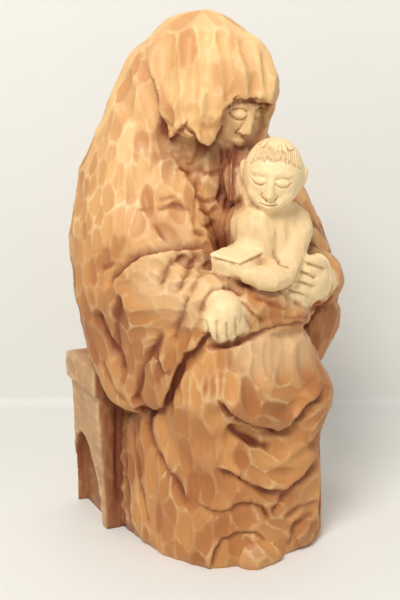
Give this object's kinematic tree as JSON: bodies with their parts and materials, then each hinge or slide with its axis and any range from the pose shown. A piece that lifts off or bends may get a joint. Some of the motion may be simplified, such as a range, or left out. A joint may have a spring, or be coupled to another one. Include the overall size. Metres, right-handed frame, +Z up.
{
  "type": "seated mother and child statue",
  "caption": "Carved wooden statue of a veiled seated mother holding a child with a book, on a low bench with a blind arch in each side; it stands on its flat underside.",
  "frame": {"origin": "middle of the box round the whole part, on the flat underside that stands on the floor", "axes": "+Z up along the height, the figure faces -Y, and her left hand is on the +X side"},
  "size_m": [0.2344, 0.2256, 0.4641],
  "materials": {
    "waxed_limewood": "hand-carved limewood with a honey-coloured satin wax, darker in the cuts"
  },
  "bodies": {
    "root": {"madonna_and_child": "waxed_limewood"}
  },
  "joints": []
}
